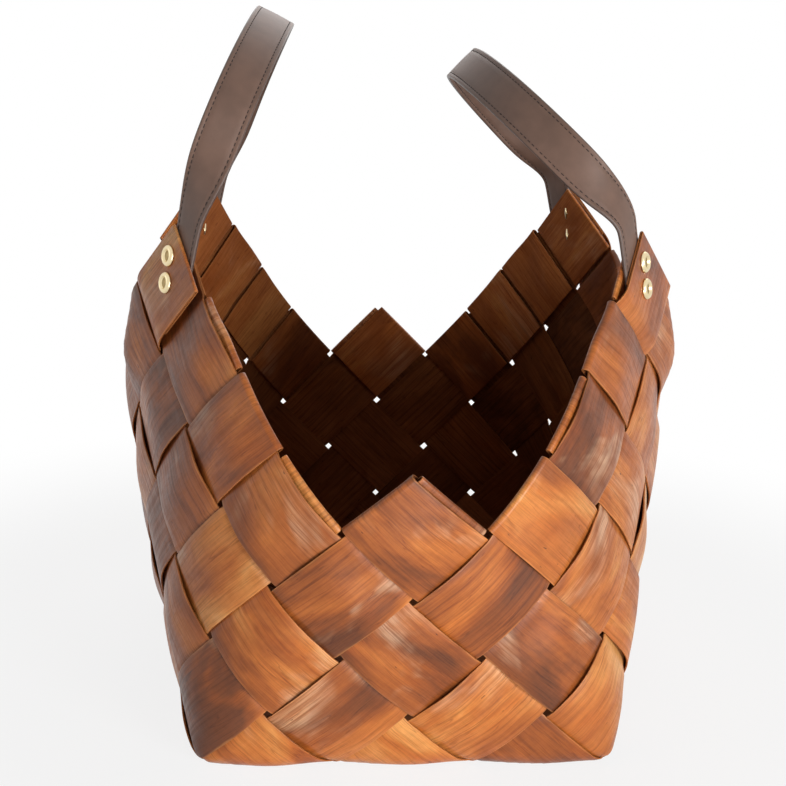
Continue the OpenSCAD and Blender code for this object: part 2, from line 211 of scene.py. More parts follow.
def quarter_walk(u, row):
    """Way in plan after u metres round the quarter: bowed end, tight corner, bowed side."""
    growth = 1 + GIRTH_GROWTH * (row / TOP_ROW) ** 2
    corner = np.maximum(TINY, CORNER_REACH * (1 - np.exp(-row * ROW_H / CORNER_RISE)))
    end_len = HALF_END * growth - corner
    corner_len = 2 * corner
    side_len = HALF_SIDE * growth - corner
    end_turn = END_BOW * (row / TOP_ROW) ** END_BOW_POWER
    side_turn = SIDE_BOW * (1 - np.exp(-row * ROW_H / SIDE_BOW_RISE))
    side_turn = side_turn / (1 - math.exp(-TOP_ROW * ROW_H / SIDE_BOW_RISE))
    corner_turn = math.pi / 2 - end_turn - side_turn
    on_end = np.minimum(u, end_len)
    on_corner = np.clip(u - end_len, 0, corner_len)
    on_side = np.maximum(u - end_len - corner_len, 0)
    side_start = math.pi / 2 - side_turn
    return (
        arc_walk(on_end, 0 * u, end_turn * on_end / end_len)
        + arc_walk(on_corner, end_turn, end_turn + corner_turn * on_corner / corner_len)
        + arc_walk(on_side, side_start, side_start + side_turn * on_side / side_len)
    )


def plan(place, row):
    """Point of the quarter in plan, from the middle of the basket."""
    growth = 1 + GIRTH_GROWTH * (row / TOP_ROW) ** 2
    at = quarter_walk(place * DIAG * growth, row)
    whole = quarter_walk((HALF_END + HALF_SIDE) * growth, row)
    return np.stack([at[..., 0], at[..., 1] - whole[..., 1]], axis=-1)


def curved_quarter(place, row):
    """Point of the quarter: it climbs by what the wall's slant leaves after its steps in plan."""
    shares = np.linspace(0, 1, CLIMB_STEPS + 1)
    at = plan(place[..., None] + 0 * shares, row[..., None] * shares)
    steps = np.linalg.norm(np.diff(at, axis=-2), axis=-1)
    slant = (ROW_H * RISE_SHARE * row / CLIMB_STEPS)[..., None]
    ups = np.sqrt(np.maximum(0, slant**2 - steps**2)).sum(axis=-1)
    return np.concatenate([at[..., -1, :], (FLOOR_Z + ups)[..., None]], axis=-1)


def one_quarter(place, row):
    return curved_quarter(np.array([float(place)]), np.array([float(row)]))[0]


peak_mid = one_quarter(PEAK_PLACE, PEAK_ROW)
peak_across = one_quarter(PEAK_PLACE + PROBE, PEAK_ROW) - one_quarter(PEAK_PLACE - PROBE, PEAK_ROW)
peak_upward = one_quarter(PEAK_PLACE, PEAK_ROW + PROBE) - one_quarter(PEAK_PLACE, PEAK_ROW - PROBE)
peak_out = unit(np.cross(peak_across, peak_upward))


def quarter(place, row):
    """Point of the quarter, with the peak made flat for its rivets."""
    at = curved_quarter(place, row)
    by_row = smooth((row - FLAT_FROM_ROW) / (FLAT_TO_ROW - FLAT_FROM_ROW))
    reach = np.abs(place - PEAK_PLACE)
    by_place = smooth((FLAT_TO_PLACE - reach) / (FLAT_TO_PLACE - FLAT_FROM_PLACE))
    off = (at - peak_mid) @ peak_out
    return at - (off * by_row * by_place)[..., None] * peak_out


def quarter_place(s):
    """Where a place lies in the near right quarter, and if it is left and far in the basket."""
    turns = np.floor((s - END_COUNT / 2 + HALF_GIRTH) / (2 * HALF_GIRTH))
    from_middle = s - END_COUNT / 2 - turns * 2 * HALF_GIRTH
    far = np.abs(from_middle) > HALF_GIRTH / 2
    place = np.where(far, HALF_GIRTH - np.abs(from_middle), np.abs(from_middle))
    return place, from_middle < 0, far


def wall(s, row):
    place, left, far = quarter_place(s)
    signs = np.stack([np.where(left, -1, 1), np.where(far, -1, 1), np.ones_like(place)], axis=-1)
    return quarter(place, row) * signs


# ---------------------------------------------------------------- legs of the strips
# A leg is the part of a strip on one wall: the place where it leaves the base, and its lean,
# which is 1 where places rise on its way up and -1 where they fall. It is measured in pitches
# from its cell 0, whose middle lies on the edge of the base. Cells on the base are below 0.

# The sides of the base from the near one: the place where each ends, the direction in which
# its places rise, its way out, and its distance from the middle.
BASE_SIDES = (
    (END_COUNT, np.array([1.0, 0.0]), np.array([0.0, -1.0]), HALF_SIDE),
    (HALF_GIRTH, np.array([0.0, 1.0]), np.array([1.0, 0.0]), HALF_END),
    (HALF_GIRTH + END_COUNT, np.array([-1.0, 0.0]), np.array([0.0, 1.0]), HALF_SIDE),
    (2 * HALF_GIRTH, np.array([0.0, -1.0]), np.array([-1.0, 0.0]), HALF_END),
)
FOLD_SOFT = 0.009
DIFFERENCE = 0.01


def rim(s):
    """Row of the zigzag rim at a place."""
    place = quarter_place(s)[0]
    if place < VALLEY_PLACE:
        return VALLEY_ROW + 2 * (VALLEY_PLACE - place)
    if place < PEAK_PLACE:
        return VALLEY_ROW + 2 * (place - VALLEY_PLACE)
    return TOP_ROW - 2 * (place - PEAK_PLACE)


def inside_rim(s, row):
    return row < rim(s) - TINY


def last_cell(leg):
    n = 0
    while inside_rim(leg[0] + leg[1] * n / 2, n):
        n += 1
    return n - 1


def is_over(n, lean):
    return (n % 2 == 0) == (lean < 0)


def is_tip(s, row):
    return not inside_rim(s - 0.5, row + 1) and not inside_rim(s + 0.5, row + 1)


def side_of(s):
    """Direction of rising places and way out, on the side of the base that a leg starts from."""
    t = s % (2 * HALF_GIRTH)
    return next((along, out) for side_end, along, out, _ in BASE_SIDES if t < side_end)


def base_exit(s):
    """Point of the base's edge at a place, in plan."""
    place, left, far = quarter_place(s)
    on_end = place < END_COUNT / 2
    x = place * DIAG if on_end else HALF_END
    y = -HALF_SIDE if on_end else -HALF_SIDE + (place - END_COUNT / 2) * DIAG
    return np.array([x * (-1 if left else 1), y * (-1 if far else 1)])


def leg_dir(leg):
    along, out = side_of(leg[0])
    return unit(leg[1] * along + out)


def cross_dir(leg):
    along, out = side_of(leg[0])
    return unit(-leg[1] * along + out)


def softened(points):
    """Rounds the fold of the base, where the strips turn up into the wall."""
    moved = points.copy()
    for _, _, out, half in BASE_SIDES:
        off = points[..., :2] @ out - half
        near = np.hypot(off, points[..., 2] - FLOOR_Z)
        pull = ((1 - np.clip(near / FOLD_SOFT, 0, 1)) / 2) ** 2 * FOLD_SOFT
        moved[..., :2] -= pull[..., None] * out
        moved[..., 2] += pull
    return moved


def leg_point(leg, a, b):
    """Point of the middle surface, a pitches up a leg and b pitches across it."""
    row = a + b
    on_wall = wall(leg[0] + leg[1] * (a - b) / 2, np.maximum(row, 0))
    flat = base_exit(leg[0]) + PITCH * (a[..., None] * leg_dir(leg) + b[..., None] * cross_dir(leg))
    on_base = np.concatenate([flat, np.full(flat.shape[:-1] + (1,), FLOOR_Z)], axis=-1)
    return softened(np.where((row < 0)[..., None], on_base, on_wall))


def leg_frame(leg, a, b):
    """Point, way out and way ahead of a leg at a pitches up it and b pitches across it."""
    at = leg_point(leg, a, b)
    along = leg_point(leg, a + DIFFERENCE, b) - leg_point(leg, a - DIFFERENCE, b)
    across = leg_point(leg, a, b + DIFFERENCE) - leg_point(leg, a, b - DIFFERENCE)
    return at, unit(leg[1] * np.cross(along, across)), unit(along)


# ---------------------------------------------------------------- course of one strip

CELL_STEPS = 24
ACROSS_STEPS = 10
FLAP_STEPS = 12
FOLD_STEPS = 12
FOLD_AIR = 0.0012
FLAP_AIR = 0.0016
FLAP_DEPTH = 3 * LAYER
TIP_FLAP_DEPTH = 5 * LAYER
FOLD_TONE_STEPS = 4
OVER_BULGE = 0.0016
UNDER_BULGE = 0.0005
BULGE_SPREAD = 0.9
CROWN = 0.0009
FLAP_CROWN = 0.0016
WARP = 0.0008
WANDER = 0.0006
EDGE_WAVE = 0.00035
TURN_FROM = 0.455
TURN_TO = 0.545
COVER_FROM = 0.54
COVER_TO = 0.25
COVER_POWER = 2.3

# Where the random values of a strip are read: its seed and its cell or length times these
# steps, and a shift for each use.
SEED_STEP = 7.31
SECOND_LEG = 0.5
OFF_GRID = 0.37
BULGE_STEP = 1.73
CROWN_SHIFT, CROWN_STEP = 1.9, 2.31
WARP_SHIFT, WARP_STEP = 4.4, 2.17
FLAP_SHIFT = 8.3
DRIFT_SHIFT, DRIFT_STEP = 0.0, 4.0
LEFT_SHIFT, RIGHT_SHIFT, WAVE_STEP = 3.1, 5.7, 23.0
GRAIN_SHIFT = (1.17, 0.59)


def wobble(x, y=OFF_GRID):
    """A steady random value from -1 to 1 at a place."""
    return noise.noise(Vector((x, y, OFF_GRID)))


def cell_level(n, lean):
    return LAYER if is_over(n, lean) else -LAYER


def cell_bulge(seed, n, over):
    """How far the middle of a cell swells out of its layer."""
    if n < 0:
        return 0.0 if over else UNDER_BULGE
    share = 1 + BULGE_SPREAD * wobble(seed * SEED_STEP, n * BULGE_STEP)
    return (OVER_BULGE if over else UNDER_BULGE) * share


def cell_curl(leg, a, seed):
    """How far a cell's middle crowns over its edges, and its edges tip, a pitches up its leg."""
    n = round(a)
    off = a - n
    if n < 0 or n == PEAK_ROW or abs(off) > TURN_FROM:
        return 0.0, 0.0
    share = math.cos(math.pi * off) ** 2
    crown = CROWN * (1 + wobble(seed * SEED_STEP + CROWN_SHIFT, n * CROWN_STEP)) * share
    warp = WARP * wobble(seed * SEED_STEP + WARP_SHIFT, n * WARP_STEP) * share
    return (crown if is_over(n, leg[1]) else -crown / 2), warp


def leg_lift(leg, a, seed, cover, top_cell):
    """Height of a strip's middle over the wall's middle surface, a pitches up its leg."""
    if cover and a > top_cell - COVER_FROM:
        share = min(1, (a - top_cell + COVER_FROM) / (COVER_FROM - COVER_TO))
        return -LAYER + (COVER_MID + LAYER) * (1 - (1 - share) ** COVER_POWER)
    n = round(a)
    off = a - n
    if abs(off) > TURN_FROM:
        lower = n if off > 0 else n - 1
        start, end = cell_level(lower, leg[1]), cell_level(lower + 1, leg[1])
        return start + (end - start) * smooth((a - lower - TURN_FROM) / (TURN_TO - TURN_FROM))
    over = is_over(n, leg[1])
    swell = cell_bulge(seed, n, over) * math.cos(math.pi * off) ** 2
    return cell_level(n, leg[1]) + (swell if over else -swell)


def leg_course(leg, seed, last):
    """Stations from the end of a leg's flap down to the base: (a, ahead, out, crown, warp).

    At a peak, one strip covers the end of a strap from outside, and its flap lies between
    itself and the strap.
    """
    n = last_cell(leg)
    over = is_over(n, leg[1])
    tip = is_tip(leg[0] + leg[1] * n / 2, n)
    at_peak = n == PEAK_ROW
    cover = tip and over and at_peak
    fold = n + EDGE
    if cover:
        top, under, flap_end = COVER_MID, FLAP_MID, n - COVER_TO
    else:
        top, flap_end = cell_level(n, leg[1]), n - EDGE
        under = -(TIP_FLAP_DEPTH if tip and over else FLAP_DEPTH) - (0 if at_peak else FLAP_AIR)
    course = []
    for k in range(FLAP_STEPS + 1):
        a = flap_end + (fold - flap_end) * k / FLAP_STEPS
        curl = 0.0 if at_peak else -FLAP_CROWN * math.cos(math.pi * (a - n)) ** 2
        course.append((a, 0.0, under, curl * (1 + wobble(seed * SEED_STEP + FLAP_SHIFT)), 0.0))
    radius = (top - under) / 2
    for k in range(FOLD_STEPS + 1):
        turn = math.pi * (1 - k / FOLD_STEPS)
        ahead = FOLD_AIR + radius * math.sin(turn)
        course.append((fold, ahead, (top + under) / 2 + radius * math.cos(turn), 0.0, 0.0))
    steps = int(round((fold - last) * CELL_STEPS))
    for k in range(steps + 1):
        a = fold + (last - fold) * k / steps
        course.append((a, 0.0, leg_lift(leg, a, seed, cover, n), *cell_curl(leg, a, seed)))
    return course


def strip_stations(name, legs, base_cells, seed):
    """Stations of a whole strip, down one leg and up the other, each behind its leg's number."""
    if is_over(0, legs[1][1]) != is_over(-base_cells, legs[0][1]):
        raise ValueError("the two legs of " + name + " disagree")
    middle = -base_cells / 2
    down = leg_course(legs[0], seed, middle)
    up = leg_course(legs[1], seed + SECOND_LEG, middle)[::-1]
    return np.array([(0, *station) for station in down] + [(1, *station) for station in up[1:]])


def flap_tone_rows(leg):
    """Rows at a leg's end with the folded flap's tone, darkened as painted shade; none where the
    flap is hidden.
    """
    covers_strap = last_cell(leg) == PEAK_ROW and is_over(PEAK_ROW, leg[1])
    return 0 if covers_strap else FLAP_STEPS + FOLD_TONE_STEPS


# A strip's materials are, in order, its face, the face's back, its flap, the flap's back, and
# its cut edge. Its thickness finds a back or an edge by its offset from the face.
FLAP_SLOT = 2
BACK_OFFSET = 1
EDGE_OFFSET = 4


def strip_mesh(name, legs, base_cells, seed, stain):
    """One whole strip: down one leg, through the base and up the other."""
    stations = strip_stations(name, legs, base_cells, seed)
    leg_of, a, ahead_by, out_by, crown, warp = stations.T
    on_first = leg_of == 0
    run = np.where(on_first, a, -base_cells - a) * PITCH + np.where(on_first, ahead_by, -ahead_by)
    walked = walk_along(np.stack([run, out_by], axis=1))
    shares = np.linspace(-1, 1, ACROSS_STEPS + 1)

    def wandering(shift, step, size):
        return size * np.array([[wobble(seed * SEED_STEP + shift, w * step)] for w in walked])

    left = wandering(LEFT_SHIFT, WAVE_STEP, EDGE_WAVE)
    right = wandering(RIGHT_SHIFT, WAVE_STEP, EDGE_WAVE)
    across = shares * (STRIP_W / 2 + np.where(shares < 0, left, right))
    across = (across + wandering(DRIFT_SHIFT, DRIFT_STEP, WANDER)) / PITCH
    lift = out_by[:, None] + crown[:, None] * (1 - shares**2) + warp[:, None] * shares

    flip = -legs[0][1]
    same_way = cross_dir(legs[0]) @ cross_dir(legs[1]) > 0
    points = np.zeros((len(stations), len(shares), 3))
    for index, (leg, way) in enumerate(zip(legs, (flip, flip if same_way else -flip))):
        here = leg_of == index
        at, out, ahead = leg_frame(leg, a[here, None] + 0 * across[here], across[here] * way)
        points[here] = at + ahead * ahead_by[here, None, None] + out * lift[here, :, None]
    points[..., 2] = np.maximum(points[..., 2], STRIP_T / 2)

    bm, (strip_uv, cell_uv), places = new_grid(len(stations), len(shares), "strip", "cell")
    grain_shift = Vector([seed * shift for shift in GRAIN_SHIFT])
    flap_end = flap_tone_rows(legs[0])
    flap_start = len(stations) - 1 - flap_tone_rows(legs[1])
    for face in bm.faces:
        if not flap_end <= min(places[vert][0] for vert in face.verts) < flap_start:
            face.material_index = FLAP_SLOT
        for loop in face.loops:
            i, j = places[loop.vert]
            loop[strip_uv].uv = Vector((walked[i], shares[j] * STRIP_W / 2)) + grain_shift
            loop[cell_uv].uv = (a[i], shares[j])
    for vert, place in places.items():
        vert.co = points[place]
    mesh = finished_mesh(bm, name)
    stains = mesh.attributes.new("stain", "FLOAT", "POINT")
    stains.data.foreach_set("value", [stain] * len(mesh.vertices))
    return mesh


# ---------------------------------------------------------------- nodes of the materials


def srgb(red, green, blue):
    def linear(v):
        v = v / 255
        return v / 12.92 if v <= 0.04045 else ((v + 0.055) / 1.055) ** 2.4

    return (linear(red), linear(green), linear(blue))


def grey(level):
    return (level, level, level)


def feed(tree, socket, value):
    """Sets a socket to a value, or links it to the socket that feeds it."""
    if isinstance(value, bpy.types.NodeSocket):
        tree.links.new(value, socket)
    else:
        socket.default_value = value


def add_node(tree, kind, inputs=None, **settings):
    """A node with its settings. Each input is a value, or the socket that feeds it."""
    node = tree.nodes.new("ShaderNode" + kind)
    for key, value in settings.items():
        setattr(node, key, value)
    for key, value in (inputs or {}).items():
        feed(tree, node.inputs[key], value)
    return node


def new_material(name):
    material = bpy.data.materials.new(name)
    material.use_nodes = True
    tree = material.node_tree
    tree.nodes.clear()
    shader = add_node(tree, "BsdfPrincipled")
    output = add_node(tree, "OutputMaterial", {"Surface": shader.outputs["BSDF"]})
    return material, tree, shader, output


def stretched(tree, coord, scale):
    """Coordinates in which a pattern repeats scale times a metre, along and across."""
    return add_node(tree, "Mapping", {"Vector": coord, "Scale": (*scale, 1)}).outputs["Vector"]


def cloud_node(tree, coord, scale, detail, roughness=0.5, distortion=0.0):
    inputs = {
        "Vector": stretched(tree, coord, scale),
        "Scale": 1.0,
        "Detail": detail,
        "Roughness": roughness,
        "Distortion": distortion,
    }
    return add_node(tree, "TexNoise", inputs).outputs["Fac"]


def ramp_node(tree, value, stops):
    node = add_node(tree, "ValToRGB", {"Fac": value})
    ramp = node.color_ramp
    while len(ramp.elements) < len(stops):
        ramp.elements.new(0.5)
    for element, (position, colour) in zip(ramp.elements, stops):
        element.position = position
        element.color = (*colour, 1)
    return node.outputs["Color"]


def mix_node(tree, kind, factor, first, second):
    node = add_node(tree, "Mix", data_type="RGBA", blend_type=kind)
    feed(tree, node.inputs["Factor"], factor)
    for key, value in (("A", first), ("B", second)):
        socket = next(s for s in node.inputs if s.name == key and s.type == "RGBA")
        feed(tree, socket, (*value, 1) if isinstance(value, tuple) else value)
    return next(s for s in node.outputs if s.type == "RGBA")


def range_node(tree, value, low, high, to_low=0.0, to_high=1.0):
    """A soft step from to_low to to_high while a value goes from low to high."""
    inputs = {
        "Value": value,
        "From Min": low,
        "From Max": high,
        "To Min": to_low,
        "To Max": to_high,
    }
    return add_node(tree, "MapRange", inputs, interpolation_type="SMOOTHSTEP").outputs["Result"]


def math_node(tree, operation, *values):
    return add_node(tree, "Math", dict(enumerate(values)), operation=operation).outputs["Value"]


def weighted_sum(tree, *parts):
    total = None
    for value, weight in parts:
        part = math_node(tree, "MULTIPLY", value, weight)
        total = part if total is None else math_node(tree, "ADD", total, part)
    return total


def add_bump(tree, shader, height, strength, distance):
    inputs = {"Height": height, "Strength": strength, "Distance": distance}
    feed(tree, shader.inputs["Normal"], add_node(tree, "Bump", inputs).outputs["Normal"])


# ---------------------------------------------------------------- veneer
# Patterns are given by how often they repeat in a metre along and across a strip, their detail,
# roughness and distortion. Ranges and stops say between which of its values a pattern acts.

STAIN_CLOUDS = (
    (((12, 24), 3.0, 0.55, 0.8), 0.42),
    (((7.5, 2.0), 1.0), 0.24),
    (((2.0, 3.0), 1.0), 0.26),
    (((30, 200), 4.0, 0.6), 0.08),
)
STAIN_FROM = 0.384
STAIN_REACH = 0.25

FLAME_SCALE = (5, 60)
FLAME_SHAPE = {"Scale": 1.0, "Distortion": 7.0, "Detail": 4.0, "Detail Scale": 1.3}
FLAME_STOPS = ((0.0, (0.62, 0.52, 0.47)), (0.22, grey(1.0)))
FLAME_CLOUD = ((5, 9), 2.0)
FLAME_RANGE = (0.44, 0.64, 0.05, 0.6)

STREAK_PATTERN = ((14, 420), 6.0, 0.65, 0.3)
STREAK_STOPS = ((0.36, (0.66, 0.58, 0.54)), (0.50, grey(1.0)), (0.66, grey(1.10)))
STREAK_SHARE = 0.55

# Painted sheen: whitish patches mixed into the veneer's colour where a satin highlight falls,
# thinned out along the streaks.
PAINTED_SHEEN = srgb(232, 190, 154)
PAINTED_SHEEN_CLOUD = ((14, 17), 3.0, 0.55, 0.5)
PAINTED_SHEEN_RANGE = (0.55, 0.71)
PAINTED_SHEEN_STREAKS = (0.40, 0.60, 0.45, 1.15)

AMBER = (1.0, 0.84, 0.56)
AMBER_CLOUD = ((9, 17), 3.0, 0.6, 0.6)
AMBER_RANGE = (0.52, 0.66, 0.0, 0.5)

GRAIN_PATTERN = ((50, 1300), 3.0, 0.65)
GRAIN_STOPS = ((0.36, grey(0.78)), (0.52, grey(1.0)), (0.68, grey(1.12)))
GRAIN_SHARE = 0.75

VEIN = (0.52, 0.42, 0.36)
VEIN_PATTERN = ((9, 150), 2.0, 0.5, 0.2)
VEIN_MIDDLE = 0.5
VEIN_RANGE = (0.001, 0.011, 0.55, 0.0)

RIPPLE_PATTERN = ((420, 110), 2.0, 0.6, 0.5)
RIPPLE_STOPS = ((0.35, grey(0.90)), (0.65, grey(1.08)))
RIPPLE_SHARE = 0.3

SPECK_PATTERN = ((130, 420), 1.0, 0.5)
SPECK_RANGE = (0.775, 0.80, 0.0, 0.8)
SPECK_LEVEL = 0.4

RAGGED_PATTERN = ((40, 40), 3.0)
RAGGED_SHARE = 0.14
RAGGED_STREAK = 0.05
WORN_RANGE = (1.05, 1.11)

GLEAM_STREAK, GLEAM_RIPPLE = 0.6, 0.4
GLEAM_RANGE = (0.36, 0.64)
DULLER, GLOSSIER = 0.13, 0.07
RELIEF_GRAIN, RELIEF_STREAK, RELIEF_RIPPLE = 0.5, 1.0, 0.5
RELIEF_STRENGTH = 0.4
RELIEF_DEPTH = 0.0003

STAIN_TONES = (
    srgb(106, 57, 29),
    srgb(139, 74, 33),
    srgb(170, 93, 40),
    srgb(194, 113, 51),
    srgb(212, 138, 72),
    srgb(230, 166, 100),
)
# Tones of the flap folded inside and of the strip's back, darker than the face's: painted shade of
# the basket's inside.
SHADED_FLAP_TONES = (srgb(118, 62, 30), srgb(158, 88, 42), srgb(184, 108, 54), srgb(206, 132, 72))
SHADED_BACK_TONES = (srgb(94, 52, 27), srgb(128, 74, 40), srgb(152, 92, 51), srgb(174, 110, 65))
EDGE_TONES = (srgb(128, 74, 38), srgb(186, 118, 68))
# Levels by height that darken the inside faces towards the base: painted shade.
INSIDE_PAINTED_SHADE = ((0.05, 0.92), (0.18, 0.92), (0.27, 0.96), (0.32, 1.0))


def veneer_material(name, tones, worn_tone, worn_share, painted_sheen_share, rough, gloss, shade=None):
    """Stained veneer: broad clouds of stain, flame figure, streaks, fine grain, specks and a
    painted sheen.

    shade holds (height, level) pairs, for faces that get darker towards the base: painted shade.
    """
    material, tree, shader, _ = new_material(name)
    coord = add_node(tree, "TexCoord").outputs["UV"]

    def cloud(pattern):
        return cloud_node(tree, coord, *pattern)

    def acting(pattern, limits):
        return range_node(tree, cloud(pattern), *limits)

    def tinted(share, colour, tint):
        return mix_node(tree, "MULTIPLY", share, colour, tint)

    strip_stain = add_node(tree, "Attribute", attribute_name="stain").outputs["Fac"]
    clouds = [(cloud(pattern), weight) for pattern, weight in STAIN_CLOUDS]
    stain = weighted_sum(tree, *clouds, (strip_stain, 1.0))
    last = len(tones) - 1
    stops = [(STAIN_FROM + STAIN_REACH * k / last, tone) for k, tone in enumerate(tones)]
    colour = ramp_node(tree, stain, stops)

    wave_inputs = {"Vector": stretched(tree, coord, FLAME_SCALE), **FLAME_SHAPE}
    flame = add_node(tree, "TexWave", wave_inputs, wave_type="BANDS", bands_direction="Y")
    figure = ramp_node(tree, flame.outputs["Fac"], FLAME_STOPS)
    colour = tinted(acting(FLAME_CLOUD, FLAME_RANGE), colour, figure)

    streak = cloud(STREAK_PATTERN)
    # Painted sheen: a whitish highlight mixed into the colour in patches, broken up by the streaks.
    painted_sheen = acting(PAINTED_SHEEN_CLOUD, (*PAINTED_SHEEN_RANGE, 0.0, painted_sheen_share))
    painted_sheen = math_node(tree, "MULTIPLY", painted_sheen, range_node(tree, streak, *PAINTED_SHEEN_STREAKS))
    colour = mix_node(tree, "MIX", painted_sheen, colour, PAINTED_SHEEN)
    colour = tinted(acting(AMBER_CLOUD, AMBER_RANGE), colour, AMBER)
    colour = tinted(STREAK_SHARE, colour, ramp_node(tree, streak, STREAK_STOPS))

    grain = cloud(GRAIN_PATTERN)
    colour = tinted(GRAIN_SHARE, colour, ramp_node(tree, grain, GRAIN_STOPS))

    off_vein = math_node(tree, "SUBTRACT", cloud(VEIN_PATTERN), VEIN_MIDDLE)
    veins = range_node(tree, math_node(tree, "ABSOLUTE", off_vein), *VEIN_RANGE)
    colour = tinted(veins, colour, VEIN)

    ripple = cloud(RIPPLE_PATTERN)
    colour = tinted(RIPPLE_SHARE, colour, ramp_node(tree, ripple, RIPPLE_STOPS))

    speck_tone = tuple(v * SPECK_LEVEL for v in tones[0])
    colour = mix_node(tree, "MIX", acting(SPECK_PATTERN, SPECK_RANGE), colour, speck_tone)

    cell = add_node(tree, "UVMap", uv_map="cell").outputs["UV"]
    across = add_node(tree, "SeparateXYZ", {"Vector": cell}).outputs["Y"]
    off_middle = (math_node(tree, "ABSOLUTE", across), 1.0)
    ragged = (cloud(RAGGED_PATTERN), RAGGED_SHARE)
    ragged_edge = weighted_sum(tree, off_middle, ragged, (streak, RAGGED_STREAK))
    worn = range_node(tree, ragged_edge, *WORN_RANGE, 0.0, worn_share)
    colour = mix_node(tree, "MIX", worn, colour, worn_tone)

    # Painted shade: the colour gets darker towards the base, by height.
    if shade:
        place = add_node(tree, "TexCoord").outputs["Object"]
        height = add_node(tree, "SeparateXYZ", {"Vector": place}).outputs["Z"]
        levels = [(at, grey(level)) for at, level in shade]
        colour = tinted(1.0, colour, ramp_node(tree, height, levels))
    feed(tree, shader.inputs["Base Color"], colour)

    gleam = weighted_sum(tree, (streak, GLEAM_STREAK), (ripple, GLEAM_RIPPLE))
    roughness = range_node(tree, gleam, *GLEAM_RANGE, rough + DULLER, rough - GLOSSIER)
    feed(tree, shader.inputs["Roughness"], roughness)
    feed(tree, shader.inputs["Specular IOR Level"], gloss)
    relief = weighted_sum(
        tree, (grain, RELIEF_GRAIN), (streak, RELIEF_STREAK), (ripple, RELIEF_RIPPLE)
    )
    add_bump(tree, shader, relief, RELIEF_STRENGTH, RELIEF_DEPTH)
    return material


veneer = veneer_material(
    "stained veneer",
    STAIN_TONES,
    srgb(226, 150, 84),
    worn_share=0.40,
    painted_sheen_share=0.55,
    rough=0.39,
    gloss=0.42,
)
# The back and the folded flap, seen inside the basket, get darker tones that darken further towards
# the base: painted shade.
shaded_veneer_back = veneer_material(
    "veneer back with painted shade",
    SHADED_BACK_TONES,
    srgb(100, 58, 28),
    worn_share=0.3,
    painted_sheen_share=0.0,
    rough=0.7,
    gloss=0.08,
    shade=INSIDE_PAINTED_SHADE,
)
shaded_veneer_flap = veneer_material(
    "folded veneer with painted shade",
    SHADED_FLAP_TONES,
    srgb(170, 104, 56),
    worn_share=0.4,
    painted_sheen_share=0.2,
    rough=0.6,
    gloss=0.12,
    shade=INSIDE_PAINTED_SHADE,
)
veneer_edge = veneer_material(
    "veneer edge",
    EDGE_TONES,
    srgb(186, 118, 68),
    worn_share=0.3,
    painted_sheen_share=0.0,
    rough=0.6,
    gloss=0.1,
)

# ---------------------------------------------------------------- leather, thread and brass

LEATHER_CLOUD = ((60, 60), 3.0)
LEATHER_DARK = 0.78
LEATHER_DARK_AT, LEATHER_LIGHT_AT = 0.35, 0.65
LEATHER_GLOSS = 0.5
PEBBLE_PATTERN = ((1500, 1500), 2.0)
PEBBLE_STRENGTH = 0.2
PEBBLE_DEPTH = 0.0002


def leather_material(name, colour, rough):
    material, tree, shader, _ = new_material(name)
    coord = add_node(tree, "TexCoord").outputs["UV"]
    darker = tuple(v * LEATHER_DARK for v in colour)
    stops = ((LEATHER_DARK_AT, darker), (LEATHER_LIGHT_AT, colour))
    shade = ramp_node(tree, cloud_node(tree, coord, *LEATHER_CLOUD), stops)
    feed(tree, shader.inputs["Base Color"], shade)
    feed(tree, shader.inputs["Roughness"], rough)
    feed(tree, shader.inputs["Specular IOR Level"], LEATHER_GLOSS)
    pebbles = cloud_node(tree, coord, *PEBBLE_PATTERN)
    add_bump(tree, shader, pebbles, PEBBLE_STRENGTH, PEBBLE_DEPTH)
    return material


def plain_material(name, colour, rough, metal=0.0):
    material, tree, shader, _ = new_material(name)
    feed(tree, shader.inputs["Base Color"], (*colour, 1))
    feed(tree, shader.inputs["Roughness"], rough)
    feed(tree, shader.inputs["Metallic"], metal)
    return material


leather = leather_material("brown leather", srgb(120, 92, 78), rough=0.55)
leather_edge = plain_material("painted edge", srgb(92, 72, 63), rough=0.4)
stitch_thread = plain_material("stitch thread", srgb(50, 36, 31), rough=0.8)
brass = plain_material("worn brass", srgb(232, 214, 172), rough=0.28, metal=1.0)
tarnish = plain_material("tarnished brass", srgb(160, 138, 96), rough=0.4, metal=1.0)

# ---------------------------------------------------------------- strips

HALF_RUN = HALF_GIRTH // 2
RIGHT_LEANING_SEED = 20
STAIN_BY_LEAN = 0.022
STAIN_BY_STRIP = 0.044
STAIN_STEP = 2.5
STAIN_START = 1.5
WORN_EDGE = 0.00025
WORN_EDGE_STEPS = 2
WORN_EDGE_ANGLE = math.radians(50)


def strip_legs(c, mirror):
    """Both legs of a strip that crosses the base c strips from the middle one."""
    at_corner = (SIDE_COUNT - END_COUNT) / 2
    leg1 = (c - at_corner, -1 if c > at_corner else 1)
    leg2 = (HALF_GIRTH - at_corner - c, 1 if c > -at_corner else -1)
    if mirror:
        return (END_COUNT - leg1[0], -leg1[1]), (END_COUNT - leg2[0], -leg2[1])
    return leg1, leg2


def add_thickness(strip):
    """The strip's thickness, with its backs and cut edges, and its worn corners."""
    wall_mod = strip.modifiers.new("thickness", "SOLIDIFY")
    wall_mod.thickness = STRIP_T
    wall_mod.offset = 0
    wall_mod.material_offset = BACK_OFFSET
    wall_mod.material_offset_rim = EDGE_OFFSET
    edge_mod = strip.modifiers.new("worn edge", "BEVEL")
    edge_mod.width = WORN_EDGE
    edge_mod.segments = WORN_EDGE_STEPS
    edge_mod.limit_method = "ANGLE"
    edge_mod.angle_limit = WORN_EDGE_ANGLE


